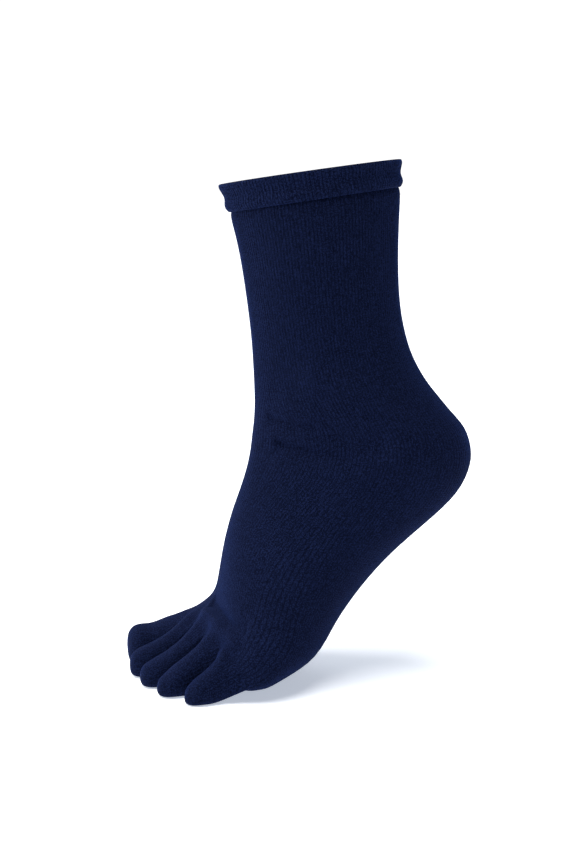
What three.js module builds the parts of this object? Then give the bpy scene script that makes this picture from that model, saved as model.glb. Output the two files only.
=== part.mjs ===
// Toe sock for the left side, in its worn form with the heel raised and the toes on the floor.
//
// Millimetres, +Z up. The toes point towards -X and the little toe lies towards -Y. The sock is laid out
// above the floor that its ball rests on, and the finished group is shifted so that the middle of the top
// opening is the origin. The knit is one skin: rings of points run down the leg, round the heel and along the
// foot, and each toe goes on from its own part of the last ring.
import * as THREE from 'three';

// Sizes of the leg and foot
const heelReach = 95; // from the middle of the ball back to the heel
const ankleHeight = 144; // the bend in front of the ankle, above the floor
const legRise = 127; // from that bend up to the back of the rim
const legWidth = 88; // across the rim
const ballWidth = 97; // across the ball of the foot
const wall = 1.6; // thickness of the knit
const gap = 0.3; // left between neighbouring pieces

// Sizes of the turned band at the top
const weltDepth = 14;
const weltProud = 1.1; // how far its lower edge stands out from the leg

// Sizes shared by the toes
const toeClearance = 0.5; // between the knit of neighbouring toes
const toeCrown = 0.9; // 1 gives the upper half of a toe an oval section, less a squarer one
const toeSole = 0.65; // the same for its lower half, which the floor flattens
const toeSoleBlunt = 4; // how square the end of its lower half is
const toeRoom = { dorsal: 7, others: 5, side: 4, web: 3 }; // edges of a ring along each stretch

// The five toes from the big one to the little one.
// share: the part of the toe line that a toe takes. plump: its pad's width as a share of that part.
// length: from its root to its tip, a share of ballWidth. turn: degrees towards the little toe's side.
// padTop, tipHeight: above the floor, shares of ballWidth. padAt: where along it the pad's top is reached.
// bend: how suddenly it drops from its root to there. blunt: how square its end is, 2 for a round one.
const toeRows = [
  {
    name: 'big_toe_pocket', share: 0.307, plump: 1.03, length: 0.3691, turn: 8,
    padTop: 0.2124, tipHeight: 0.1031, padAt: 0.6, bend: 0.9, blunt: 2.7,
  },
  {
    name: 'second_toe_pocket', share: 0.187, plump: 1.04, length: 0.3773, turn: 12,
    padTop: 0.1577, tipHeight: 0.0567, padAt: 0.85, bend: 1.3, blunt: 2.5,
  },
  {
    name: 'middle_toe_pocket', share: 0.176, plump: 1.1, length: 0.3711, turn: 14.5,
    padTop: 0.1392, tipHeight: 0.0515, padAt: 0.85, bend: 1.2, blunt: 2.3,
  },
  {
    name: 'fourth_toe_pocket', share: 0.17, plump: 1.08, length: 0.3485, turn: 16.5,
    padTop: 0.1258, tipHeight: 0.0412, padAt: 0.85, bend: 0.9, blunt: 2.1,
  },
  {
    name: 'little_toe_pocket', share: 0.16, plump: 1.02, length: 0.2835, turn: 17.5,
    padTop: 0.1216, tipHeight: 0.0361, padAt: 0.85, bend: 1, blunt: 2,
  },
];

// Sections of the leg and foot from the rim to the toe line, as seen from the side: each runs from a front
// point on the leg or instep to a back point on the leg, heel or sole.
// frontX, backX: shares of heelReach.
// frontRise, backRise: up to 1 a share of ankleHeight, above 1 of legRise.
// width: a share of legWidth down to the heel and of ballWidth from the arch on.
// middle: sideways place of the section, a share of ballWidth. tilt: slope of the section from side to side.
// egg: how much wider its back half is. sole: how square the corners of its sole are.
// sweep: how far the little toe's side lies back, a share of ballWidth.
// knuckle: height of the crowns behind the toes above the dips between them, a share of ballWidth.
// spread: 0 with its points even, 1 with its points divided among the toes.
// rings: how many rings lead to the next row. Without it, that is 1 on the leg and 2 on the foot.
// piece: the tube of the knit that begins at the row.
const legSections = [
  {
    frontX: -0.372, frontRise: 1.893, backX: 0.605, backRise: 1.995,
    width: 1, middle: 0.02, tilt: 0.047, egg: 0, piece: 'leg_tube',
  },
  {
    frontX: -0.316, frontRise: 1.78, backX: 0.604, backRise: 1.882,
    width: 0.966, middle: 0.01, tilt: 0.047, egg: 0,
  },
  {
    frontX: -0.268, frontRise: 1.646, backX: 0.597, backRise: 1.748,
    width: 0.93, middle: 0, tilt: 0.045, egg: 0,
  },
  {
    frontX: -0.232, frontRise: 1.488, backX: 0.593, backRise: 1.59,
    width: 0.875, middle: -0.02, tilt: 0.04, egg: 0,
  },
  {
    frontX: -0.2, frontRise: 1.3, backX: 0.605, backRise: 1.41,
    width: 0.8, middle: -0.04, tilt: 0.03, egg: 0.02,
  },
  {
    frontX: -0.187, frontRise: 1.15, backX: 0.651, backRise: 1.252,
    width: 0.75, middle: -0.06, tilt: 0.02, egg: 0.04, piece: 'heel_turn',
  },
  {
    frontX: -0.182, frontRise: 1.055, backX: 0.736, backRise: 1.122,
    width: 0.784, middle: -0.07, egg: 0.06, rings: 2,
  },
  {
    frontX: -0.182, frontRise: 0.993, backX: 0.86, backRise: 1.004,
    width: 0.818, middle: -0.08, egg: 0.08, rings: 2,
  },
  {
    frontX: -0.187, frontRise: 0.944, backX: 0.973, backRise: 0.91,
    width: 0.807, middle: -0.09, egg: 0.1, rings: 2,
  },
  {
    frontX: -0.196, frontRise: 0.896, backX: 0.998, backRise: 0.799,
    width: 0.773, middle: -0.1, egg: 0.12, rings: 2,
  },
  {
    frontX: -0.206, frontRise: 0.84, backX: 0.926, backRise: 0.69,
    width: 0.75, middle: -0.1, egg: 0.12, rings: 2,
  },
];
const footSections = [
  {
    frontX: -0.226, frontRise: 0.778, backX: 0.769, backRise: 0.588,
    width: 0.69, middle: -0.1, egg: 0.12, spread: 0.1, piece: 'foot_tube', rings: 1,
  },
  {
    frontX: -0.263, frontRise: 0.698, backX: 0.577, backRise: 0.473,
    width: 0.732, middle: -0.09, egg: 0.12, spread: 0.25, rings: 1,
  },
  {
    frontX: -0.31, frontRise: 0.611, backX: 0.409, backRise: 0.348,
    width: 0.794, middle: -0.09, egg: 0.12, spread: 0.45, rings: 1,
  },
  {
    frontX: -0.354, frontRise: 0.5, backX: 0.27, backRise: 0.218,
    width: 0.866, middle: -0.1, egg: 0.12, spread: 0.65,
  },
  {
    frontX: -0.39, frontRise: 0.396, backX: 0.145, backRise: 0.1,
    width: 0.938, middle: -0.12, egg: 0.12, spread: 0.85, sweep: 0.025, sole: 0.1, piece: 'toe_base',
  },
  {
    frontX: -0.432, frontRise: 0.306, backX: -0.13, backRise: 0.014,
    width: 0.985, middle: -0.134, egg: 0.06, spread: 1, sweep: 0.06, knuckle: 0.015, sole: 0.4,
  },
  {
    frontX: -0.521, frontRise: 0.243, backX: -0.33, backRise: 0.002,
    width: 0.955, middle: -0.137, egg: 0, spread: 1, sweep: 0.105, knuckle: 0.035, sole: 0.8,
  },
  {
    frontX: -0.589, frontRise: 0.2, backX: -0.495, backRise: 0.012,
    width: 0.91, middle: -0.145, egg: 0, spread: 1, sweep: 0.15, knuckle: 0.045, sole: 1,
  },
];
const sweepMiddle = 0.155; // where the toe line lies furthest forward, a share of ballWidth
const sweepPower = 1.6; // 1 would make it a straight line

// The band's outer face from its top edge down. depth: a share of weltDepth. proud: a share of weltProud.
const weltProfile = [
  { depth: 0, proud: -0.5 },
  { depth: 0.04, proud: 0 },
  { depth: 0.4, proud: 0.2 },
  { depth: 0.75, proud: 0.75 },
  { depth: 0.93, proud: 1 },
  { depth: 1, proud: 0.5 },
];

// A toe from the end of its stub to its tip. share: of the toe's length. width: a share of its pad's width.
const toeStub = { share: 0.34, width: 0.95 };
const toeProfile = [
  { share: 0.46, width: 0.97 },
  { share: 0.6, width: 1 },
  { share: 0.74, width: 1 },
  { share: 0.86, width: 1 },
  { share: 0.94, width: 1 },
  { share: 0.985, width: 1 },
];
const toeFlatFrom = 0.5; // from here on the toe lies on the floor
const toeUprightFrom = 0.6; // from here on its sections stand upright
const toeEndFrom = 0.72; // here its round end begins

const knitColour = 0x131a33;
const weltColour = 0x151c37;

const { clamp, degToRad, lerp } = THREE.MathUtils;

const toes = toeRows.map((row) => ({
  ...row,
  length: row.length * ballWidth,
  padTop: row.padTop * ballWidth,
  tipHeight: row.tipHeight * ballWidth,
}));

// Heights above 1 go on up the leg.
const riseToHeight = (rise) => ankleHeight * Math.min(rise, 1) + legRise * Math.max(rise - 1, 0);

const sections = [
  ...legSections.map((row) => ({ ...row, width: row.width * legWidth })),
  ...footSections.map((row) => ({ rings: 2, ...row, width: row.width * ballWidth })),
].map((row) => ({
  frontX: row.frontX * heelReach,
  frontZ: riseToHeight(row.frontRise),
  backX: row.backX * heelReach,
  backZ: riseToHeight(row.backRise),
  width: row.width,
  middle: row.middle * ballWidth,
  tilt: row.tilt ?? 0,
  egg: row.egg,
  sweep: (row.sweep ?? 0) * ballWidth,
  knuckle: (row.knuckle ?? 0) * ballWidth,
  spread: row.spread ?? 0,
  sole: row.sole ?? 0,
  rings: row.rings ?? 1,
}));
const lastPlace = sections.length - 1;
const pieceStarts = [...legSections, ...footSections].map((row) => row.piece);

// A smooth curve through each column of the table, read at a place between two rows.
function sectionAt(place) {
  const index = Math.min(Math.floor(place), lastPlace - 1);
  const t = place - index;
  const rows = [index - 1, index, index + 1, index + 2].map((row) => sections[clamp(row, 0, lastPlace)]);
  const section = {};
  for (const column of Object.keys(sections[0])) {
    const [a, b, c, d] = rows.map((row) => row[column]);
    const tangentB = (c - a) / 2;
    const tangentC = (d - b) / 2;
    section[column] = b + tangentB * t + (3 * (c - b) - 2 * tangentB - tangentC) * t ** 2
      + (2 * (b - c) + tangentB + tangentC) * t ** 3;
  }
  return section;
}

// A ring starts at the big toe's side, runs over the top to the little toe's side and returns by the sole.
const topEdges = toes.map((toe, index) => (index === 0 ? toeRoom.dorsal : toeRoom.others));
const topCount = topEdges.reduce((sum, edges) => sum + edges, 0);
const ringCount = 2 * (topCount + toeRoom.side);
const soleStart = topCount + toeRoom.side;
const webStarts = toes.map((toe, index) => topEdges.slice(0, index).reduce((sum, edges) => sum + edges, 0));
const topEnds = [...webStarts, topCount];

// Angles of a ring's points from the middle of its top, positive towards the big toe.
const evenStep = (2 * Math.PI) / ringCount;
const evenAngles = Array.from({ length: ringCount }, (_, index) => (topCount / 2 - index) * evenStep);

// The toe line is divided by the toes' shares. At its two ends the sides of the ring take over.
const sideAngle = degToRad(66);
const toeLine = [0];
for (const toe of toes) {
  toeLine.push(toeLine[toeLine.length - 1] + toe.share);
}
const lineTotal = toeLine[toes.length];
const borderAngles = toeLine.map((part, index) => {
  if (index === 0) return sideAngle;
  if (index === toes.length) return -sideAngle;
  return Math.asin(1 - (2 * part) / lineTotal);
});
const toeAngles = [];
for (let toe = 0; toe < toes.length; toe += 1) {
  for (let step = 0; step < topEdges[toe]; step += 1) {
    toeAngles.push(lerp(borderAngles[toe], borderAngles[toe + 1], step / topEdges[toe]));
  }
}
for (let step = 0; step < toeRoom.side; step += 1) {
  toeAngles.push(lerp(-sideAngle, sideAngle - Math.PI, step / toeRoom.side));
}
for (let toe = toes.length - 1; toe >= 0; toe -= 1) {
  for (let step = 0; step < topEdges[toe]; step += 1) {
    const across = lerp(borderAngles[toe + 1], borderAngles[toe], step / topEdges[toe]);
    toeAngles.push(-Math.PI - across);
  }
}
for (let step = 0; step < toeRoom.side; step += 1) {
  toeAngles.push(lerp(-Math.PI - sideAngle, sideAngle - 2 * Math.PI, step / toeRoom.side));
}

// How far a point of the top stretch lies from the dips on either side of its toe, from 0 to 1.
function crownAt(index) {
  if (index > topCount) return 0;
  const toe = Math.min(topEnds.findLastIndex((end) => end <= index), toes.length - 1);
  return Math.sin((Math.PI * (index - webStarts[toe])) / topEdges[toe]) ** 2;
}

function ringAt(place) {
  const section = sectionAt(place);
  const front = new THREE.Vector3(section.frontX, section.middle, section.frontZ);
  const back = new THREE.Vector3(section.backX, section.middle, section.backZ);
  const centre = front.clone().add(back).multiplyScalar(0.5);
  const toFront = front.clone().sub(centre);
  const crownDirection = toFront.clone().normalize();
  return evenAngles.map((even, index) => {
    const angle = lerp(even, toeAngles[index], section.spread);
    const corner = Math.min(Math.cos(angle), 0) * Math.sin(angle);
    const fullness = 1 - section.egg * Math.cos(angle) + section.sole * corner ** 2;
    const aside = (section.width / 2) * Math.sin(angle) * fullness;
    const point = centre.clone().addScaledVector(toFront, Math.cos(angle));
    point.addScaledVector(crownDirection, section.knuckle * crownAt(index));
    point.y += aside;
    point.z -= aside * section.tilt;
    const fromSweep = Math.max(sweepMiddle * ballWidth - point.y, 0) / (ballWidth / 2);
    point.x += section.sweep * fromSweep ** sweepPower;
    return point;
  });
}

// The skin: all its points once, and its triangles in one list for each piece. A seam is the gap between two
// rows of different pieces. Its triangles only help to find which way the skin faces. Its rows face alike.
const points = [];
const triangles = { seam: [] };
const seams = [];

function addRow(row) {
  return row.map((point) => points.push(point) - 1);
}

function joinRows(name, upper, lower) {
  triangles[name] ??= [];
  upper.forEach((corner, index) => {
    const next = (index + 1) % upper.length;
    triangles[name].push([corner, lower[index], lower[next]], [corner, lower[next], upper[next]]);
  });
}

function joinAtSeam(upper, lower) {
  joinRows('seam', upper, lower);
  seams.push([upper, lower]);
}

// Distances down the middle of the leg from the rim, turned into places in the table.
function middleAt(place) {
  const section = sectionAt(place);
  return new THREE.Vector2((section.frontX + section.backX) / 2, (section.frontZ + section.backZ) / 2);
}
function placeAtDepth(depth) {
  const step = 0.01; // of the way from one row of the table to the next
  let place = 0;
  let travelled = 0;
  let stride = 0;
  while (travelled < depth) {
    stride = middleAt(place).distanceTo(middleAt(place + step));
    travelled += stride;
    place += step;
  }
  return stride ? place - (step * (travelled - depth)) / stride : 0;
}

// The band at the top
const rimRing = ringAt(0);
const weltRows = weltProfile.map((row) => addRow(ringAt(placeAtDepth(row.depth * weltDepth))));
weltRows.slice(1).forEach((row, index) => joinRows('cuff_welt', weltRows[index], row));

// The leg and foot
const bodyStart = placeAtDepth(weltDepth + gap);
const nearestRing = 0.3; // a ring nearer than this share of a row to the band is left out
const seamStep = 0.02; // the share of a row of the table that is left open between two tubes
let tube = pieceStarts[0];
let lowestRow = addRow(ringAt(bodyStart));
joinAtSeam(weltRows[weltRows.length - 1], lowestRow);
sections.slice(0, lastPlace).forEach((section, index) => {
  if (pieceStarts[index] && pieceStarts[index] !== tube) {
    tube = pieceStarts[index];
    const tubeStart = addRow(ringAt(index + seamStep));
    joinAtSeam(lowestRow, tubeStart);
    lowestRow = tubeStart;
  }
  for (let ring = 1; ring <= section.rings; ring += 1) {
    const place = index + ring / section.rings;
    if (place < bodyStart + nearestRing) continue;
    const row = addRow(ringAt(place));
    joinRows(tube, lowestRow, row);
    lowestRow = row;
  }
});
const toeLineRow = lowestRow;
const lineWidth = sections[lastPlace].width;

// Between two toes a web runs from the top of the last ring down to the sole.
const soleIndex = (topIndex) => soleStart + (topCount - topIndex);
const webs = topEnds.map((topIndex, border) => {
  if (border === 0 || border === toes.length) return null;
  const top = points[toeLineRow[topIndex]];
  const sole = points[toeLineRow[soleIndex(topIndex)]];
  const between = [];
  for (let step = 1; step < toeRoom.web; step += 1) {
    between.push(top.clone().lerp(sole, step / toeRoom.web));
  }
  return addRow(between);
});

// The loop of points that a toe starts from, in the same order as a ring.
function rootLoop(toe) {
  const topFrom = topEnds[toe];
  const topTo = topEnds[toe + 1];
  const loop = toeLineRow.slice(topFrom, topTo + 1);
  loop.push(...(webs[toe + 1] ?? toeLineRow.slice(topCount + 1, soleStart)));
  loop.push(...toeLineRow.slice(soleIndex(topTo), soleIndex(topFrom) + 1).slice(0, topEdges[toe] + 1));
  loop.push(...(webs[toe] ? [...webs[toe]].reverse() : toeLineRow.slice(soleIndex(0) + 1)));
  return loop;
}

// How far aside a toe's border lies: at the web, or at the side of the foot for the two outer toes
function borderY(border) {
  const outerPoint = border === 0 ? ringCount - toeRoom.side / 2 : topCount + toeRoom.side / 2;
  return points[toeLineRow[webs[border] ? topEnds[border] : outerPoint]].y;
}

const floorUp = new THREE.Vector3(0, 0, 1);

// What is left at a share of the toe's length of something that fades out where another share is reached
const fade = (share, until, power = 1) => Math.max(1 - share / until, 0) ** power;

// The points round a toe at one row of its profile.
function toeRing(toe, index, root, row, along = row.share * toe.length) {
  const corners = root.map((point) => points[point]);
  const topFirst = corners[0];
  const topLast = corners[topEdges[index]];
  const soleCorner = corners[corners.length - (webs[index] ? toeRoom.web : toeRoom.side)];
  const rootTop = Math.max(...corners.map((corner) => corner.z));
  const rootSole = Math.min(...corners.map((corner) => corner.z));
  const rootLean = (soleCorner.x - topFirst.x) / 2;
  const forward = new THREE.Vector3(-Math.cos(degToRad(toe.turn)), -Math.sin(degToRad(toe.turn)), 0);
  const toBigToe = new THREE.Vector3().crossVectors(forward, floorUp);
  const centre = topFirst.clone().add(topLast).multiplyScalar(0.5);
  centre.x += rootLean;
  centre.y = (borderY(index) + borderY(index + 1)) / 2;
  centre.addScaledVector(forward, along);
  const endShare = Math.max(row.share - toeEndFrom, 0) / (1 - toeEndFrom);
  const roundEnd = (blunt) => (1 - endShare ** blunt) ** (1 / blunt);
  const round = roundEnd(toe.blunt);
  const fullTop = toe.padTop + fade(row.share, toe.padAt, toe.bend) * (rootTop - toe.padTop);
  const top = lerp(toe.tipHeight, fullTop, round);
  const sole = lerp(toe.tipHeight, fade(row.share, toeFlatFrom) * rootSole, roundEnd(toeSoleBlunt));
  const lean = rootLean * fade(row.share, toeUprightFrom);
  const padWidth = toe.share * toe.plump * lineWidth - toeClearance;
  centre.z = (top + sole) / 2;
  const step = (2 * Math.PI) / root.length;
  return root.map((_, corner) => {
    const angle = (topEdges[index] / 2 - corner) * step;
    const fullness = Math.cos(angle) > 0 ? toeCrown : toeSole;
    const aside = Math.sign(Math.sin(angle)) * Math.abs(Math.sin(angle)) ** fullness;
    const upward = Math.sign(Math.cos(angle)) * Math.abs(Math.cos(angle)) ** fullness;
    return centre.clone()
      .addScaledVector(toBigToe, aside * padWidth * row.width * round / 2)
      .addScaledVector(floorUp, upward * (top - sole) / 2)
      .addScaledVector(forward, upward * lean);
  });
}

toes.forEach((toe, index) => {
  const root = rootLoop(index);
  const stubEnd = addRow(toeRing(toe, index, root, toeStub));
  joinRows(tube, root, stubEnd);
  let row = addRow(toeRing(toe, index, root, toeStub, toeStub.share * toe.length + gap));
  joinAtSeam(stubEnd, row);
  for (const next of toeProfile) {
    const lower = addRow(toeRing(toe, index, root, next));
    joinRows(toe.name, row, lower);
    row = lower;
  }
  const [tipPoint] = addRow([toeRing(toe, index, root, { share: 1, width: 1 })[0]]);
  row.forEach((corner, at) => triangles[toe.name].push([corner, tipPoint, row[(at + 1) % row.length]]));
});

// Which way the skin faces at each of its points
const facing = points.map(() => new THREE.Vector3());
for (const [a, b, c] of Object.values(triangles).flat()) {
  const normal = new THREE.Vector3().crossVectors(
    points[b].clone().sub(points[a]),
    points[c].clone().sub(points[a]),
  );
  [a, b, c].forEach((corner) => facing[corner].add(normal));
}
for (const [upper, lower] of seams) {
  upper.forEach((point, index) => {
    const shared = facing[point].clone().add(facing[lower[index]]);
    facing[point].copy(shared);
    facing[lower[index]].copy(shared);
  });
}
facing.forEach((normal) => normal.normalize());

const inner = points.map((point, index) => point.clone().addScaledVector(facing[index], -wall));
const outer = points.map((point) => point.clone());
weltRows.forEach((row, index) => {
  row.forEach((point) => outer[point].addScaledVector(facing[point], weltProfile[index].proud * weltProud));
});

// A closed wall from one piece's triangles: the outer face, the inner face and a band along each open edge.
function wallGeometry(faces) {
  const positions = [];
  const push = (...corners) => corners.forEach((corner) => positions.push(corner.x, corner.y, corner.z));
  const edges = new Set(faces.flatMap(([a, b, c]) => [`${a} ${b}`, `${b} ${c}`, `${c} ${a}`]));
  for (const [a, b, c] of faces) {
    push(outer[a], outer[b], outer[c]);
    push(inner[a], inner[c], inner[b]);
    for (const [from, to] of [[a, b], [b, c], [c, a]]) {
      if (edges.has(`${to} ${from}`)) continue;
      // The rows on either side of a gap are numbered alike, so their bands fold along the same diagonals.
      if (to < from) {
        push(outer[to], outer[from], inner[from]);
        push(outer[to], inner[from], inner[to]);
      } else {
        push(outer[to], outer[from], inner[to]);
        push(outer[from], inner[from], inner[to]);
      }
    }
  }
  const geometry = new THREE.BufferGeometry();
  geometry.setAttribute('position', new THREE.Float32BufferAttribute(positions, 3));
  geometry.computeVertexNormals();
  return geometry;
}

const knit = new THREE.MeshStandardMaterial({ color: knitColour, roughness: 0.95, metalness: 0 });
const band = new THREE.MeshStandardMaterial({ color: weltColour, roughness: 0.92, metalness: 0 });

const sock = new THREE.Group();
for (const name of ['cuff_welt', ...pieceStarts.filter(Boolean), ...toes.map((toe) => toe.name)]) {
  const mesh = new THREE.Mesh(wallGeometry(triangles[name]), name === 'cuff_welt' ? band : knit);
  mesh.name = name;
  sock.add(mesh);
}

// The middle of the top opening becomes the origin.
const rimMiddle = new THREE.Vector3();
rimRing.forEach((point) => rimMiddle.add(point));
rimMiddle.divideScalar(rimRing.length);
sock.position.copy(rimMiddle).negate();

export default sock;
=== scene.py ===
from math import asin, cos, pi, radians, sin

import bmesh
import bpy
import numpy as np
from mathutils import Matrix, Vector


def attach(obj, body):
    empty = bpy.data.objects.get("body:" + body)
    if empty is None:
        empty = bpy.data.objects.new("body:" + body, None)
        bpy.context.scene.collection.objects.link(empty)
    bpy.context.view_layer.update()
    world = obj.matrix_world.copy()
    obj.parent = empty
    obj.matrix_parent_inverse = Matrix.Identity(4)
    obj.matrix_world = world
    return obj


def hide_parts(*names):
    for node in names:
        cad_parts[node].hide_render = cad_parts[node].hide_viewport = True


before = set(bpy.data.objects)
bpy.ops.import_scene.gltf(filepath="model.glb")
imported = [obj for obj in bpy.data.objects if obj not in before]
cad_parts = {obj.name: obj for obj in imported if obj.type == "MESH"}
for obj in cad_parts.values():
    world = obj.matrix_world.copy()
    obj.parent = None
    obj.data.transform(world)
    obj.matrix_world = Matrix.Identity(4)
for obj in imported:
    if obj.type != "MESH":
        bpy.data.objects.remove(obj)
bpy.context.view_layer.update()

# The studio: white paper under soft light from above and from the left, and a camera on the outer side of the sock
# that looks down on it a little. Everything is in metres from the middle of the leg opening, so the floor lies below
# 0, under the sock's ball.
OPENING = Vector((0.011068, 0.00194, 0.263888))  # the middle of the leg opening, seen from the ball on the floor
FLOOR = -OPENING.z
CAMERA_PLACE = Vector((0, -0.9, 0.29))  # seen from the ball on the floor
CAMERA_DIP = 10.14  # degrees below level
BACKDROP_SEEN = 1.1  # its brightness in the picture
BACKDROP_SHED = 0.12  # the brightness that lights the sock
FLOOR_GLOW = 0.55

camera_data = bpy.data.cameras.new("camera")
camera_data.lens = 72.71
camera_data.sensor_width = 36
camera_data.clip_end = 20
camera = bpy.data.objects.new("camera", camera_data)
camera.location = CAMERA_PLACE - OPENING
camera.rotation_euler = (radians(90 - CAMERA_DIP), 0, 0)
bpy.context.scene.collection.objects.link(camera)
bpy.context.scene.camera = camera


def studio_light(name, kind, place, towards, strength, colour):
    """A lamp that shines from its place towards a point, and its data."""
    data = bpy.data.lights.new(name, kind)
    data.energy = strength
    data.color = colour
    light = bpy.data.objects.new(name, data)
    light.location = place
    light.rotation_euler = (Vector(towards) - Vector(place)).to_track_quat("-Z", "Y").to_euler()
    bpy.context.scene.collection.objects.link(light)
    return data


overhead = studio_light("overhead_light", "SUN", (-0.15, -0.24, 1.0), (0, 0, 0), 3.55, (1, 0.99, 0.97))
overhead.angle = radians(45)
key = studio_light("key_light", "AREA", (-1.1, -0.05, 0.4), (0, 0, -0.12), 10, (1, 0.98, 0.95))
key.size = 0.8
back = studio_light("back_light", "AREA", (-0.5, 1.0, 0.5), (0, 0, -0.1), 6, (0.9, 0.95, 1))
back.size = 1.0
bpy.context.scene.view_settings.view_transform = "Standard"

# The backdrop is brighter in the picture than the light that it sheds on the sock.
world = bpy.data.worlds.new("daylight")
world.use_nodes = True
bpy.context.scene.world = world
sky = world.node_tree
seen = sky.nodes.new("ShaderNodeLightPath")
brightness = sky.nodes.new("ShaderNodeMapRange")
brightness.inputs["To Min"].default_value = BACKDROP_SHED
brightness.inputs["To Max"].default_value = BACKDROP_SEEN
sky.links.new(seen.outputs["Is Camera Ray"], brightness.inputs["Value"])
sky.links.new(brightness.outputs["Result"], sky.nodes["Background"].inputs["Strength"])
sky.nodes["Background"].inputs["Color"].default_value = (1, 1, 1, 1)

# The floor has a faint cool glow, which keeps the sock's shadow on it pale.
paper_mesh = bmesh.new()
bmesh.ops.create_grid(paper_mesh, x_segments=1, y_segments=1, size=6)
bmesh.ops.translate(paper_mesh, verts=paper_mesh.verts, vec=(0, 0, FLOOR))
paper = bpy.data.objects.new("paper_floor", bpy.data.meshes.new("paper_floor"))
paper_mesh.to_mesh(paper.data)
paper_mesh.free()
bpy.context.scene.collection.objects.link(paper)
white_paper = bpy.data.materials.new("white_paper")
white_paper.use_nodes = True
surface = white_paper.node_tree.nodes["Principled BSDF"]
surface.inputs["Base Color"].default_value = (0.9, 0.91, 0.93, 1)
surface.inputs["Roughness"].default_value = 0.8
surface.inputs["Emission Color"].default_value = (0.8, 0.87, 1, 1)
surface.inputs["Emission Strength"].default_value = FLOOR_GLOW
paper.data.materials.append(white_paper)

# The knit: leg, heel, foot and toes in one seamless tube of navy cotton. A circular machine knits the toes first,
# then the foot and the leg round them. The ribs are deep on the leg, so that it stays up, and faint on the foot.
HEEL_REACH = 0.095  # from the middle of the ball back to the heel
ANKLE_HEIGHT = 0.144  # the bend in front of the ankle, above the floor
LEG_RISE = 0.127  # from that bend up to the back of the rim
LEG_WIDTH = 0.088
BALL_WIDTH = 0.097
KNIT_WALL = 0.0016
BAND_DEPTH = 0.014  # the turned band at the top
RIB_RELIEF = 0.0006  # from a rib's back down to the groove beside it
COURSE_HEIGHT = 0.0011  # of one row of stitches
WALES = 144  # columns of stitches all round, each a rib on the leg

# Sections from the rim to the toe line, each from a front point to a back point. x: shares of HEEL_REACH.
# rise: a share of ANKLE_HEIGHT up to 1, and of LEG_RISE above it. width: of LEG_WIDTH, or of BALL_WIDTH from the
# arch on. middle: how far it lies to the big toe's side, a share of BALL_WIDTH. tilt: its slope down to that side.
# egg: how much narrower the front is than the back. spread: how far the columns have moved to their toes. sweep: how
# far the little toe's side lies back, and knuckle: how far the knit swells behind each toe, shares of BALL_WIDTH.
# sole: how square the sole's corners are. rib: a share of RIB_RELIEF. rows: how many lead to the next section.
COLUMNS = (
    "front_x front_rise back_x back_rise width middle tilt egg spread sweep knuckle sole rib rows"
).split()
SECTIONS = [
    (-0.372, 1.893, 0.605, 1.995, 1.000, 0.020, 0.047, 0.00, 0.00, 0.000, 0.000, 0.0, 1.00, 2),
    (-0.316, 1.780, 0.604, 1.882, 0.966, 0.010, 0.047, 0.00, 0.00, 0.000, 0.000, 0.0, 1.00, 2),
    (-0.268, 1.646, 0.597, 1.748, 0.930, 0.000, 0.045, 0.00, 0.00, 0.000, 0.000, 0.0, 0.95, 2),
    (-0.232, 1.488, 0.593, 1.590, 0.875, -0.020, 0.040, 0.00, 0.00, 0.000, 0.000, 0.0, 0.90, 2),
    (-0.200, 1.300, 0.605, 1.410, 0.800, -0.040, 0.030, 0.02, 0.00, 0.000, 0.000, 0.0, 0.80, 2),
    (-0.187, 1.150, 0.651, 1.252, 0.750, -0.060, 0.020, 0.04, 0.00, 0.000, 0.000, 0.0, 0.70, 3),
    (-0.182, 1.055, 0.736, 1.122, 0.784, -0.070, 0.000, 0.06, 0.00, 0.000, 0.000, 0.0, 0.60, 4),
    (-0.182, 0.993, 0.860, 1.004, 0.818, -0.080, 0.000, 0.08, 0.00, 0.000, 0.000, 0.0, 0.50, 5),
    (-0.187, 0.944, 0.973, 0.910, 0.807, -0.090, 0.000, 0.10, 0.00, 0.000, 0.000, 0.0, 0.45, 4),
    (-0.196, 0.896, 0.998, 0.799, 0.773, -0.100, 0.000, 0.12, 0.00, 0.000, 0.000, 0.0, 0.40, 2),
    (-0.206, 0.840, 0.926, 0.690, 0.750, -0.100, 0.000, 0.12, 0.00, 0.000, 0.000, 0.0, 0.40, 2),
    (-0.226, 0.778, 0.769, 0.588, 0.690, -0.100, 0.000, 0.12, 0.10, 0.000, 0.000, 0.0, 0.35, 2),
    (-0.263, 0.698, 0.577, 0.473, 0.732, -0.090, 0.000, 0.12, 0.25, 0.000, 0.000, 0.0, 0.30, 2),
    (-0.310, 0.611, 0.409, 0.348, 0.794, -0.090, 0.000, 0.12, 0.45, 0.000, 0.000, 0.0, 0.25, 2),
    (-0.354, 0.500, 0.270, 0.218, 0.866, -0.100, 0.000, 0.12, 0.65, 0.000, 0.000, 0.0, 0.25, 2),
    (-0.390, 0.396, 0.145, 0.100, 0.938, -0.120, 0.000, 0.12, 0.85, 0.025, 0.000, 0.1, 0.25, 3),
    (-0.432, 0.306, -0.130, 0.014, 0.985, -0.134, 0.000, 0.06, 1.00, 0.060, 0.000, 0.4, 0.20, 5),
    (-0.521, 0.243, -0.330, 0.002, 0.955, -0.137, 0.000, 0.00, 1.00, 0.105, 0.008, 0.8, 0.20, 5),
    (-0.589, 0.200, -0.495, 0.012, 0.910, -0.145, 0.000, 0.00, 1.00, 0.150, 0.032, 1.0, 0.20, 0),
]
ARCH_ROW = 11
SWEEP_MIDDLE = 0.155  # from here to the little toe's side the toe line bends back, a share of BALL_WIDTH
SWEEP_POWER = 1.6  # how sharply it bends, where 1 is straight

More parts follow.
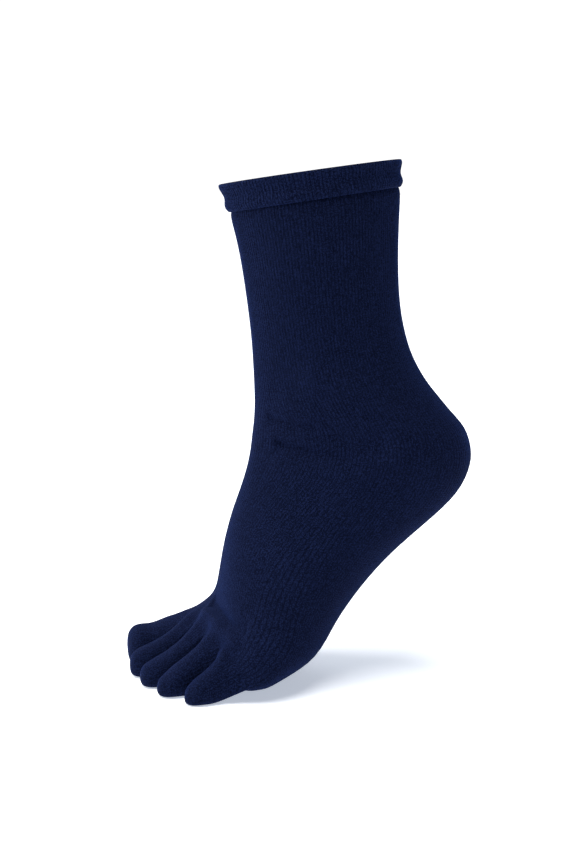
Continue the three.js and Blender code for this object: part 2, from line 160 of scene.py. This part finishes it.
# The toes, from the big one on. share: of the toe line. plump: the pad's width, a share of that. length, pad_top and
# tip_height: in metres. turn: degrees to the little toe's side. pad_at: the share of its length at which its top has
# come down to pad_top, and bend: how it curves down to there. blunt: how square the tip is, where 2 is round.
TOE_COLUMNS = "share plump length turn pad_top tip_height pad_at bend blunt".split()
TOES = [
    dict(zip(TOE_COLUMNS, row))
    for row in [
        (0.307, 1.03, 0.0358, 8.0, 0.0206, 0.0100, 0.60, 0.9, 2.7),
        (0.187, 1.04, 0.0366, 12.0, 0.0153, 0.0055, 0.85, 1.3, 2.5),
        (0.176, 1.10, 0.0360, 14.5, 0.0135, 0.0050, 0.85, 1.2, 2.3),
        (0.170, 1.08, 0.0338, 16.5, 0.0122, 0.0040, 0.85, 0.9, 2.1),
        (0.160, 1.02, 0.0275, 17.5, 0.0118, 0.0035, 0.85, 1.0, 2.0),
    ]
]
TOE_CLEARANCE = 0.0005  # from one toe to the next
TOE_CROWN = 0.9  # how full the upper half is, where 1 is round and less is squarer
TOE_SOLE = 0.65  # the same of the lower half
TOE_SOLE_BLUNT = 4  # the same as blunt, of the lower half
TOE_STUB = 0.34  # it grows out of the toe line over this share of its length
TOE_STUB_WIDTH = 0.95  # a share of the pad's width
TOE_FULL_FROM = 0.55  # from this share of its length on it is as wide as its pad
TOE_FLAT_FROM = 0.5  # from here on it lies flat on the floor
TOE_UPRIGHT_FROM = 0.6  # from here on its rings stand upright
TOE_END_FROM = 0.72  # from here on it rounds off to the tip
SIDE_ANGLE = radians(66)  # the toes reach this far round the section from its front, to either side


def height(rise):
    return ANKLE_HEIGHT * min(rise, 1) + LEG_RISE * max(rise - 1, 0)


def measured(index, row):
    """A section in metres."""
    section = dict(zip(COLUMNS, row))
    broad = LEG_WIDTH if index < ARCH_ROW else BALL_WIDTH
    section.update(
        front_x=section["front_x"] * HEEL_REACH,
        back_x=section["back_x"] * HEEL_REACH,
        front_rise=height(section["front_rise"]),
        back_rise=height(section["back_rise"]),
        width=section["width"] * broad,
    )
    for column in ("middle", "sweep", "knuckle"):
        section[column] *= BALL_WIDTH
    return section


sections = [measured(index, row) for index, row in enumerate(SECTIONS)]
TOE_LINE = len(sections) - 1


def section_at(place):
    """The table's columns at a place between two sections, on a smooth curve through all of them."""
    index = min(int(place), TOE_LINE - 1)
    t = place - index
    near = [sections[min(max(i, 0), TOE_LINE)] for i in range(index - 1, index + 3)]
    found = {}
    for column in COLUMNS:
        a, b, c, d = (section[column] for section in near)
        leave, arrive = (c - a) / 2, (d - b) / 2
        curve = (3 * (c - b) - 2 * leave - arrive) * t**2 + (2 * (b - c) + leave + arrive) * t**3
        found[column] = b + leave * t + curve
    return found


# The toe line is divided by the toes' shares, from the big toe's side over the top to the little toe's side.
toe_shares = np.cumsum([0] + [toe["share"] for toe in TOES])
toe_borders = [SIDE_ANGLE]
toe_borders += [asin(1 - 2 * share / toe_shares[-1]) for share in toe_shares[1:-1]]
toe_borders += [-SIDE_ANGLE]


class Gauge:
    """How many stitches wide each stretch of the knit is: a toe's top, the side of the foot, and a web."""

    def __init__(self, tops, side, web):
        self.tops = tops
        self.side = side
        self.web = web
        self.top = sum(tops)
        self.around = 2 * (self.top + side)
        self.ends = [0, *np.cumsum(tops).tolist()]
        sole = [-pi - angle for angle in reversed(toe_borders)]
        corners = [*toe_borders, *sole, SIDE_ANGLE - 2 * pi]
        counts = [*tops, side, *reversed(tops), side]
        self.stretches = list(zip(corners, corners[1:], counts))

    def sole(self, top):
        """The column of the sole that lies under a column of the top."""
        return self.top + self.side + self.top - top


def outline(section, angles):
    """Points of a section, and the way that the knit faces at each. Angle 0 is its front."""
    front = np.array((section["front_x"], section["middle"], section["front_rise"]))
    back = np.array((section["back_x"], section["middle"], section["back_rise"]))
    centre, to_front = (front + back) / 2, (front - back) / 2
    forward = to_front / np.linalg.norm(to_front)
    fore, side = np.cos(angles), np.sin(angles)
    corner = np.minimum(fore, 0) * side
    aside = section["width"] / 2 * side * (1 - section["egg"] * fore + section["sole"] * corner**2)
    crown = np.zeros_like(angles)
    for left, right in zip(toe_borders, toe_borders[1:]):
        over = (left - angles) / (left - right)
        crown += np.where((over >= 0) & (over <= 1), np.sin(pi * over) ** 2, 0)
    points = centre + np.outer(fore, to_front) + np.outer(section["knuckle"] * crown, forward)
    points[:, 1] += aside
    points[:, 2] -= aside * section["tilt"]
    swept = np.maximum(SWEEP_MIDDLE * BALL_WIDTH - points[:, 1], 0) / (BALL_WIDTH / 2)
    points[:, 0] += section["sweep"] * swept**SWEEP_POWER
    facing = np.outer(fore / np.linalg.norm(to_front), forward)
    facing[:, 1] += side / (section["width"] / 2)
    return points, facing / np.linalg.norm(facing, axis=1)[:, None]


# From the back over the front, a lap and a half in quarter degrees
ALL_ROUND = np.linspace(pi, -2 * pi, 2161)


def ring_angles(section, gauge):
    """Where the columns of stitches lie round a section: evenly on the leg, and toe by toe at the toe line."""
    points, _ = outline(section, ALL_ROUND)
    steps = np.linalg.norm(np.diff(points, axis=0), axis=1)
    travelled = np.concatenate(([0], np.cumsum(steps)))
    front = np.interp(0, -ALL_ROUND, travelled)
    lap = np.interp(2 * pi, -ALL_ROUND, travelled) - front
    columns = np.arange(gauge.around)
    even = np.interp(front + (columns - gauge.top / 2) / gauge.around * lap, travelled, ALL_ROUND)
    parted = []
    for start, end, count in gauge.stretches:
        first, last = np.interp([-start, -end], -ALL_ROUND, travelled)
        parted.extend(np.interp(np.linspace(first, last, count, endpoint=False), travelled, ALL_ROUND))
    return even + (np.array(parted) - even) * section["spread"]


# Folds and swellings of the worn knit, in metres from the ball on the floor. Each runs along a line of points,
# spreads to either side, and rises or, below zero, sinks.
FOLDS = [
    # swellings on the ankle's outer and inner side, and the hollow under the outer one
    ([(0.014, -0.038, 0.163), (0.032, -0.041, 0.157)], 0.009, 0.0026),
    ([(0.016, 0.025, 0.170), (0.026, 0.026, 0.166)], 0.011, 0.0018),
    ([(0.018, -0.042, 0.141), (0.046, -0.044, 0.134)], 0.008, -0.0018),
    # creases where the ankle bends, and the soft roll below them
    ([(-0.005, -0.030, 0.1275), (0.018, -0.040, 0.1245), (0.041, -0.044, 0.1190)], 0.0024, -0.0038),
    ([(-0.009, -0.026, 0.1405), (0.001, -0.034, 0.1390), (0.012, -0.039, 0.1380)], 0.0028, -0.0022),
    ([(0.020, -0.042, 0.1330), (0.045, -0.044, 0.1280)], 0.0050, -0.0024),
    ([(-0.005, -0.032, 0.1210), (0.018, -0.041, 0.1175), (0.036, -0.043, 0.1130)], 0.0040, 0.0022),
    # crease behind the toes, and the small roll in front of it
    ([(-0.041, -0.016, 0.0435), (-0.031, -0.041, 0.0400), (-0.023, -0.053, 0.0370)], 0.0024, -0.0036),
    ([(-0.046, -0.016, 0.0395), (-0.036, -0.042, 0.0360), (-0.028, -0.055, 0.0325)], 0.0030, 0.0024),
]
FOLD_REACH = 0.012  # a fold's line lies this near to the knit that it shapes


def folded(points, facing):
    """Points moved in or out along the folds, which are measured along the knit."""
    moved = points.copy()
    for line, spread, rise in FOLDS:
        nearest = np.full(len(points), np.inf)
        for start, end in zip(line, line[1:]):
            start, along = np.array(start), np.array(end) - np.array(start)
            part = np.clip((points - start) @ along / (along @ along), 0, 1)
            away = points - start - np.outer(part, along)
            aside = away - facing * np.sum(away * facing, axis=1)[:, None]
            distance = np.linalg.norm(aside, axis=1)
            distance[np.linalg.norm(away, axis=1) > FOLD_REACH] = np.inf
            nearest = np.minimum(nearest, distance)
        moved += facing * (rise * np.exp(-((nearest / spread) ** 2)))[:, None]
    return moved


def skin_ring(place, depth, gauge, ribs=True):
    """A ring of the knit at a depth under its outer face, with the ribs if it is fine enough to show them."""
    section = section_at(place)
    points, facing = outline(section, ring_angles(section, gauge))
    points = folded(points, facing)
    # Every other column is a rib's back. Subdivision halves the zigzag, so it is drawn twice as deep.
    ribbed = section["rib"] * RIB_RELIEF if ribs and gauge.around == 2 * WALES else 0
    zigzag = np.where(np.arange(gauge.around) % 2, -ribbed, ribbed)
    return points + facing * (zigzag - depth)[:, None]


def toe_ring(toe, root, top_count, sole_corner, aside, share, width=1.0, inset=0.0):
    """A ring of a toe at a share of its length, in the order of the points round its root."""
    high, low = root[:, 2].max(), root[:, 2].min()
    lean = (root[sole_corner, 0] - root[0, 0]) / 2
    turn = radians(toe["turn"])
    forward = np.array((-cos(turn), -sin(turn), 0))
    to_big_toe = np.array((-sin(turn), cos(turn), 0))
    centre = (root[0] + root[top_count]) / 2
    centre[0] += lean
    centre[1] = aside
    centre += forward * share * toe["length"]
    end = max(share - TOE_END_FROM, 0) / (1 - TOE_END_FROM)
    round_end = (1 - end ** toe["blunt"]) ** (1 / toe["blunt"])
    round_sole = (1 - end**TOE_SOLE_BLUNT) ** (1 / TOE_SOLE_BLUNT)
    full_top = toe["pad_top"] + max(1 - share / toe["pad_at"], 0) ** toe["bend"] * (high - toe["pad_top"])
    top = toe["tip_height"] + (full_top - toe["tip_height"]) * round_end
    full_sole = max(1 - share / TOE_FLAT_FROM, 0) * low
    sole = toe["tip_height"] + (full_sole - toe["tip_height"]) * round_sole
    centre[2] = (top + sole) / 2
    half_pad = (toe["share"] * toe["plump"] * LINE_WIDTH - TOE_CLEARANCE) / 2 * width * round_end
    angles = (top_count / 2 - np.arange(len(root))) * 2 * pi / len(root)
    fullness = np.where(np.cos(angles) > 0, TOE_CROWN, TOE_SOLE)
    across = np.sign(np.sin(angles)) * np.abs(np.sin(angles)) ** fullness
    upward = np.sign(np.cos(angles)) * np.abs(np.cos(angles)) ** fullness
    leaning = upward * lean * max(1 - share / TOE_UPRIGHT_FROM, 0)
    points = centre + np.outer(across * max(half_pad - inset, 0), to_big_toe) + np.outer(leaning, forward)
    points[:, 2] += upward * max((top - sole) / 2 - inset, 0)
    return points


LINE_WIDTH = sections[TOE_LINE]["width"]


def first_row(mesh, points):
    """A circle of points, each moved to its place."""
    row = bmesh.ops.create_circle(mesh, segments=len(points), radius=1)["verts"]
    for vert, point in zip(row, points):
        vert.co = point
    return row


def next_row(mesh, row, points, courses, wale):
    """Knits one more row onto an open edge, and writes each stitch's wale and course on it."""
    stitches = mesh.loops.layers.uv["stitches"]
    pairs = list(zip(row, row[1:] + row[:1]))
    made = bmesh.ops.extrude_edge_only(mesh, edges=edges_of(mesh, row))["geom"]
    new = {item for item in made if isinstance(item, bmesh.types.BMVert)}
    grown = []
    for vert, point in zip(row, points):
        below = next(edge.other_vert(vert) for edge in vert.link_edges if edge.other_vert(vert) in new)
        below.co = point
        grown.append(below)
    for index, (left, right) in enumerate(pairs):
        below = grown[index], grown[(index + 1) % len(grown)]
        spots = {
            left: (index * wale, courses[0]),
            right: ((index + 1) * wale, courses[0]),
            below[0]: (index * wale, courses[1]),
            below[1]: ((index + 1) * wale, courses[1]),
        }
        for loop in mesh.edges.get(below).link_faces[0].loops:
            loop[stitches].uv = spots[loop.vert]
    return grown


def places_of(verts):
    return np.array([vert.co for vert in verts])


def middle_at(place):
    section = section_at(place)
    return np.array((section["front_x"] + section["back_x"], section["front_rise"] + section["back_rise"])) / 2


# How far down the middle of the sock each place of the table lies
STEP = 0.01
table_places = np.arange(0, TOE_LINE + STEP / 2, STEP)
middles = np.array([middle_at(place) for place in table_places])
depths = np.concatenate(([0], np.cumsum(np.linalg.norm(np.diff(middles, axis=0), axis=1))))


def place_at(depth):
    return float(np.interp(depth, depths, table_places))


def course_at(place):
    return float(np.interp(place, table_places, depths)) / COURSE_HEIGHT


# The sock's top edge is tucked under the band. Each pair is a distance below the band's lower edge, less than 0 where
# it is above it, and how far the knit lies in from the leg's outer face, in metres.
UNDER_BAND = [(-0.0017, 0.002), (0.0002, 0.0013), (0.0009, 0.0008), (0.0024, 0.0004), (0.0044, 0)]
BAND_ROOM = 0.15  # the next row lies at least this share of a section lower
WEB_INSET = 1.5  # the inner knit's webs lie this many walls back from the toe line

# Rows of a toe, as shares of its stub and of its whole length. The inner knit has fewer of them.
STUB_ROWS = (0.14, 0.3, 0.5, 0.74, 1)
TOE_ROWS = (0.44, 0.54, 0.64, 0.73, 0.81, 0.87, 0.92, 0.96, 0.988)
INNER_STUB_ROWS = (0.5, 1)
INNER_TOE_ROWS = (0.5, 0.65, 0.78, 0.88)
INNER_DENSITY = 1 / 3  # rows of the inner knit for one of the outer's


def toe_width(share):
    """A toe's width grows from its stub's to its pad's."""
    return float(np.interp(share, (TOE_STUB, TOE_FULL_FROM), (TOE_STUB_WIDTH, 1)))


def edges_of(mesh, *rows):
    return [mesh.edges.get(pair) for row in rows for pair in zip(row, row[1:] + row[:1])]


def knit_skin(mesh, gauge, inset, density, stub_rows, toe_rows):
    """Knits a skin from its top edge to the toe tips, and returns the points of its top edge."""
    wale = WALES / gauge.around
    places = [(place_at(BAND_DEPTH + down), inset + tuck) for down, tuck in UNDER_BAND]
    start = places[-1][0] + BAND_ROOM
    for index, section in enumerate(sections[:-1]):
        rows = max(round(section["rows"] * density), 1)
        steps = [index + row / rows for row in range(1, rows + 1)]
        places += [(place, inset) for place in steps if place > start]
    top_edge = row = first_row(mesh, skin_ring(*places[0], gauge))
    for (before, _), (place, depth) in zip(places, places[1:]):
        courses = course_at(before), course_at(place)
        row = next_row(mesh, row, skin_ring(place, depth, gauge), courses, wale)
    webs = []
    for column in gauge.ends:
        if column in (0, gauge.top):
            webs.append(None)
            continue
        top, sole = row[column], row[gauge.sole(column)]
        web = []
        for step in range(1, gauge.web):
            thread = mesh.verts.new(top.co.lerp(sole.co, step / gauge.web))
            mesh.edges.new((web[-1] if web else top, thread))
            thread.co.x += WEB_INSET * inset
            web.append(thread)
        mesh.edges.new((web[-1], sole))
        webs.append(web)
    borders = [row[-gauge.side // 2].co.y]
    borders += [row[column].co.y for column in gauge.ends[1:-1]]
    borders += [row[gauge.top + gauge.side // 2].co.y]
    for index, toe in enumerate(TOES):
        left, right = gauge.ends[index : index + 2]
        loop = row[left : right + 1]
        loop += webs[index + 1] or row[gauge.top + 1 : gauge.top + gauge.side]
        loop += row[gauge.sole(right) : gauge.sole(left) + 1]
        sole_corner = len(loop) - 1
        loop += webs[index][::-1] if webs[index] else row[gauge.sole(0) + 1 :]
        root = places_of(loop)
        aside = (borders[index] + borders[index + 1]) / 2
        shape = toe, root, right - left, sole_corner, aside
        stub = toe_ring(*shape, TOE_STUB, TOE_STUB_WIDTH, inset)
        rings = [(TOE_STUB * part, root + (stub - root) * part) for part in stub_rows]
        rings += [(share, toe_ring(*shape, share, toe_width(share), inset)) for share in toe_rows]
        tip = toe_ring(*shape, 1 - inset / toe["length"])[0]
        rings.append((1, np.tile(tip, (len(loop), 1))))
        course, along = course_at(TOE_LINE), 0
        for share, points in rings:
            further = course + (share - along) * toe["length"] / COURSE_HEIGHT
            loop = next_row(mesh, loop, points, (course, further), wale)
            course, along = further, share
        bmesh.ops.pointmerge(mesh, verts=loop, merge_co=tip)
    return top_edge


FINE = Gauge((34, 24, 24, 23, 23), 16, 18)
COARSE = Gauge((8, 6, 6, 6, 6), 4, 4)

sock_mesh = bmesh.new()
sock_mesh.loops.layers.uv.new("stitches")
outer_edge = knit_skin(sock_mesh, FINE, 0, 1, STUB_ROWS, TOE_ROWS)
inner_edge = knit_skin(sock_mesh, COARSE, KNIT_WALL, INNER_DENSITY, INNER_STUB_ROWS, INNER_TOE_ROWS)
bmesh.ops.bridge_loops(sock_mesh, edges=edges_of(sock_mesh, outer_edge, inner_edge))
bmesh.ops.recalc_face_normals(sock_mesh, faces=sock_mesh.faces)


def finished(name, mesh, material, *nodes):
    """Makes a mesh a piece of the sock, in the place of the plain solids it stands for."""
    bmesh.ops.translate(mesh, verts=mesh.verts, vec=-OPENING)
    piece = bpy.data.objects.new(name, bpy.data.meshes.new(name))
    for face in mesh.faces:
        face.smooth = True
    mesh.to_mesh(piece.data)
    mesh.free()
    piece.data.materials.append(material)
    bpy.context.scene.collection.objects.link(piece)
    smooth = piece.modifiers.new("round_stitches", "SUBSURF")
    smooth.levels = 1
    smooth.render_levels = 1
    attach(piece, "root")
    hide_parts(*nodes)
    return piece


def node_group(name, inputs, outputs):
    """An empty group of shader nodes, with its inputs and outputs."""
    group = bpy.data.node_groups.new(name, "ShaderNodeTree")
    for label, kind, value in inputs:
        socket = group.interface.new_socket(label, in_out="INPUT", socket_type=kind)
        if value is not None:
            socket.default_value = value
    for label, kind in outputs:
        group.interface.new_socket(label, in_out="OUTPUT", socket_type=kind)
    return group


def add(tree, kind, operation=None, **values):
    """Adds a node, and fills its inputs by their names, or by their numbers as in0 and in1."""
    node = tree.nodes.new(kind)
    if operation:
        node.operation = operation
    for name, value in values.items():
        key = int(name[2:]) if name[:2] == "in" and name[2:].isdigit() else name.replace("_", " ")
        if isinstance(value, bpy.types.NodeSocket):
            tree.links.new(value, node.inputs[key])
        else:
            node.inputs[key].default_value = value
    return node


def maths(tree, operation, first, second=0.0, third=0.0):
    return add(tree, "ShaderNodeMath", operation, in0=first, in1=second, in2=third).outputs[0]


# Plain knit: each stitch is a V of two slanting legs. Stitches counts wales across and courses down.
STITCH_SLANT = 0.45
LEG_ROUNDNESS = 0.5  # less is flatter along the leg
GROOVE_SHARPNESS = 6  # more is narrower between two wales
knit_stitches = node_group(
    "knit_stitches",
    [("Stitches", "NodeSocketVector", None), ("Slant", "NodeSocketFloat", STITCH_SLANT)],
    [("Height", "NodeSocketFloat"), ("Groove", "NodeSocketFloat")],
)
tree = knit_stitches
given = add(tree, "NodeGroupInput")
parts = add(tree, "ShaderNodeSeparateXYZ", Vector=given.outputs["Stitches"])
wale, course = parts.outputs["X"], parts.outputs["Y"]
from_middle = maths(tree, "PINGPONG", wale, 0.5)
leg = maths(tree, "SINE", maths(tree, "MULTIPLY", from_middle, 2 * pi))
slanted = maths(tree, "MULTIPLY_ADD", from_middle, given.outputs["Slant"], course)
loop = maths(tree, "ABSOLUTE", maths(tree, "SINE", maths(tree, "MULTIPLY", slanted, pi)))
round_loop = maths(tree, "POWER", loop, LEG_ROUNDNESS)
# a mask of the grooves between the wales, used only to paint shade into the colour
valley = maths(tree, "POWER", maths(tree, "MULTIPLY", from_middle, 2), GROOVE_SHARPNESS)
result = add(tree, "NodeGroupOutput")
tree.links.new(maths(tree, "MULTIPLY", leg, round_loop), result.inputs["Height"])
tree.links.new(valley, result.inputs["Groove"])

# Cotton yarn: short pale and dark fibres lie all through it, in specks a millimetre or less across, and the dye
# takes a little unevenly over some centimetres. The grooves between the wales are darkened with painted shade.
SPECK_FROM, SPECK_TO = 0.4, 0.63
UNEVEN_DYE = 0.3
GROOVE_PAINTED_SHADE = 0.8
FIBRE_RELIEF = 0.5  # of the stitches' own
cotton_yarn = node_group(
    "cotton_yarn",
    [
        ("Dark", "NodeSocketColor", (0, 0, 0, 1)),
        ("Light", "NodeSocketColor", (1, 1, 1, 1)),
        ("Groove", "NodeSocketFloat", 0.0),
    ],
    [("Color", "NodeSocketColor"), ("Fuzz", "NodeSocketFloat")],
)
tree = cotton_yarn
given = add(tree, "NodeGroupInput")
place = add(tree, "ShaderNodeTexCoord").outputs["Object"]
specks = add(tree, "ShaderNodeTexNoise", Vector=place, Scale=1700.0, Detail=1.0, Roughness=0.5).outputs[0]
cloud = add(tree, "ShaderNodeTexNoise", Vector=place, Scale=45.0, Detail=2.0, Roughness=0.5).outputs[0]
paler = add(tree, "ShaderNodeMapRange", Value=specks, From_Min=SPECK_FROM, From_Max=SPECK_TO).outputs[0]
paler = maths(tree, "MULTIPLY_ADD", cloud, UNEVEN_DYE, maths(tree, "SUBTRACT", paler, UNEVEN_DYE / 2))
# painted shade: the colour darkens towards Dark in the grooves between the wales
paler = maths(tree, "SUBTRACT", paler, maths(tree, "MULTIPLY", given.outputs["Groove"], GROOVE_PAINTED_SHADE))
blend = add(tree, "ShaderNodeMix", Factor=paler, in6=given.outputs["Dark"], in7=given.outputs["Light"])
blend.data_type = "RGBA"
result = add(tree, "NodeGroupOutput")
tree.links.new(blend.outputs[2], result.inputs["Color"])
tree.links.new(specks, result.inputs["Fuzz"])


def knitted(name, dark, light, stitch_depth):
    """Navy cotton knit, with its stitches as fine relief and a soft bloom of loose fibres."""
    material = bpy.data.materials.new(name)
    material.use_nodes = True
    tree = material.node_tree
    cotton = tree.nodes["Principled BSDF"]
    stitches = add(tree, "ShaderNodeGroup")
    stitches.node_tree = knit_stitches
    where = add(tree, "ShaderNodeUVMap")
    where.uv_map = "stitches"
    tree.links.new(where.outputs["UV"], stitches.inputs["Stitches"])
    yarn = add(tree, "ShaderNodeGroup")
    yarn.node_tree = cotton_yarn
    yarn.inputs["Dark"].default_value = dark
    yarn.inputs["Light"].default_value = light
    # the grooves' mask feeds the painted shade in the yarn's colour
    tree.links.new(stitches.outputs["Groove"], yarn.inputs["Groove"])
    tree.links.new(yarn.outputs["Color"], cotton.inputs["Base Color"])
    fluffy = maths(tree, "MULTIPLY_ADD", yarn.outputs["Fuzz"], FIBRE_RELIEF, stitches.outputs["Height"])
    relief = add(tree, "ShaderNodeBump", Strength=0.6, Distance=stitch_depth, Height=fluffy)
    tree.links.new(relief.outputs["Normal"], cotton.inputs["Normal"])
    cotton.inputs["Roughness"].default_value = 0.95
    cotton.inputs["Specular IOR Level"].default_value = 0.04
    cotton.inputs["Sheen Weight"].default_value = 0.14
    cotton.inputs["Sheen Roughness"].default_value = 0.35
    cotton.inputs["Sheen Tint"].default_value = (0.08, 0.2, 0.9, 1)
    return material


navy_knit = knitted("navy_knit", (0.0011, 0.0025, 0.0115, 1), (0.0066, 0.0118, 0.044, 1), 0.00018)
TUBE_NODES = "leg_tube", "heel_turn", "foot_tube", "toe_base"
TOE_NODES = [f"{toe}_toe_pocket" for toe in ("big", "second", "middle", "fourth", "little")]
sock = finished("ribbed_knit", sock_mesh, navy_knit, *TUBE_NODES, *TOE_NODES)

# The band, in the same navy cotton: the top edge is knitted twice as long, turned in and joined, so it is double,
# rounder than the leg and a little proud of it. Its ribs run on from the leg's, but not where it turns in.
RIBBED_FROM = -0.5  # millimetres that a row stands out
BAND_ROWS = [  # share of its depth, and millimetres that it stands out from the leg
    (0.0, -0.9), (0.0, -0.2), (0.04, 0.4), (0.12, 0.7), (0.22, 0.5), (0.36, 0.0), (0.5, -0.2), (0.62, 0.25),
    (0.73, 1.0), (0.82, 1.2), (0.9, 1.0), (0.96, 0.6), (1.01, 0.1), (1.04, -0.5), (1.0, -1.6), (0.7, -1.6),
    (0.4, -1.6), (0.05, -1.55),
]
band_mesh = bmesh.new()
band_mesh.loops.layers.uv.new("stitches")
band_rings = [
    skin_ring(place_at(share * BAND_DEPTH), -proud / 1000, FINE, proud > RIBBED_FROM) for share, proud in BAND_ROWS
]
row = band_start = first_row(band_mesh, band_rings[0])
for course, ring in enumerate(band_rings[1:]):
    row = next_row(band_mesh, row, ring, (course, course + 1), WALES / FINE.around)
bmesh.ops.bridge_loops(band_mesh, edges=edges_of(band_mesh, band_start, row))
bmesh.ops.recalc_face_normals(band_mesh, faces=band_mesh.faces)
navy_band = knitted("navy_band", (0.001, 0.0024, 0.012, 1), (0.0082, 0.0145, 0.052, 1), 0.00022)
band = finished("turned_band", band_mesh, navy_band, "cuff_welt")
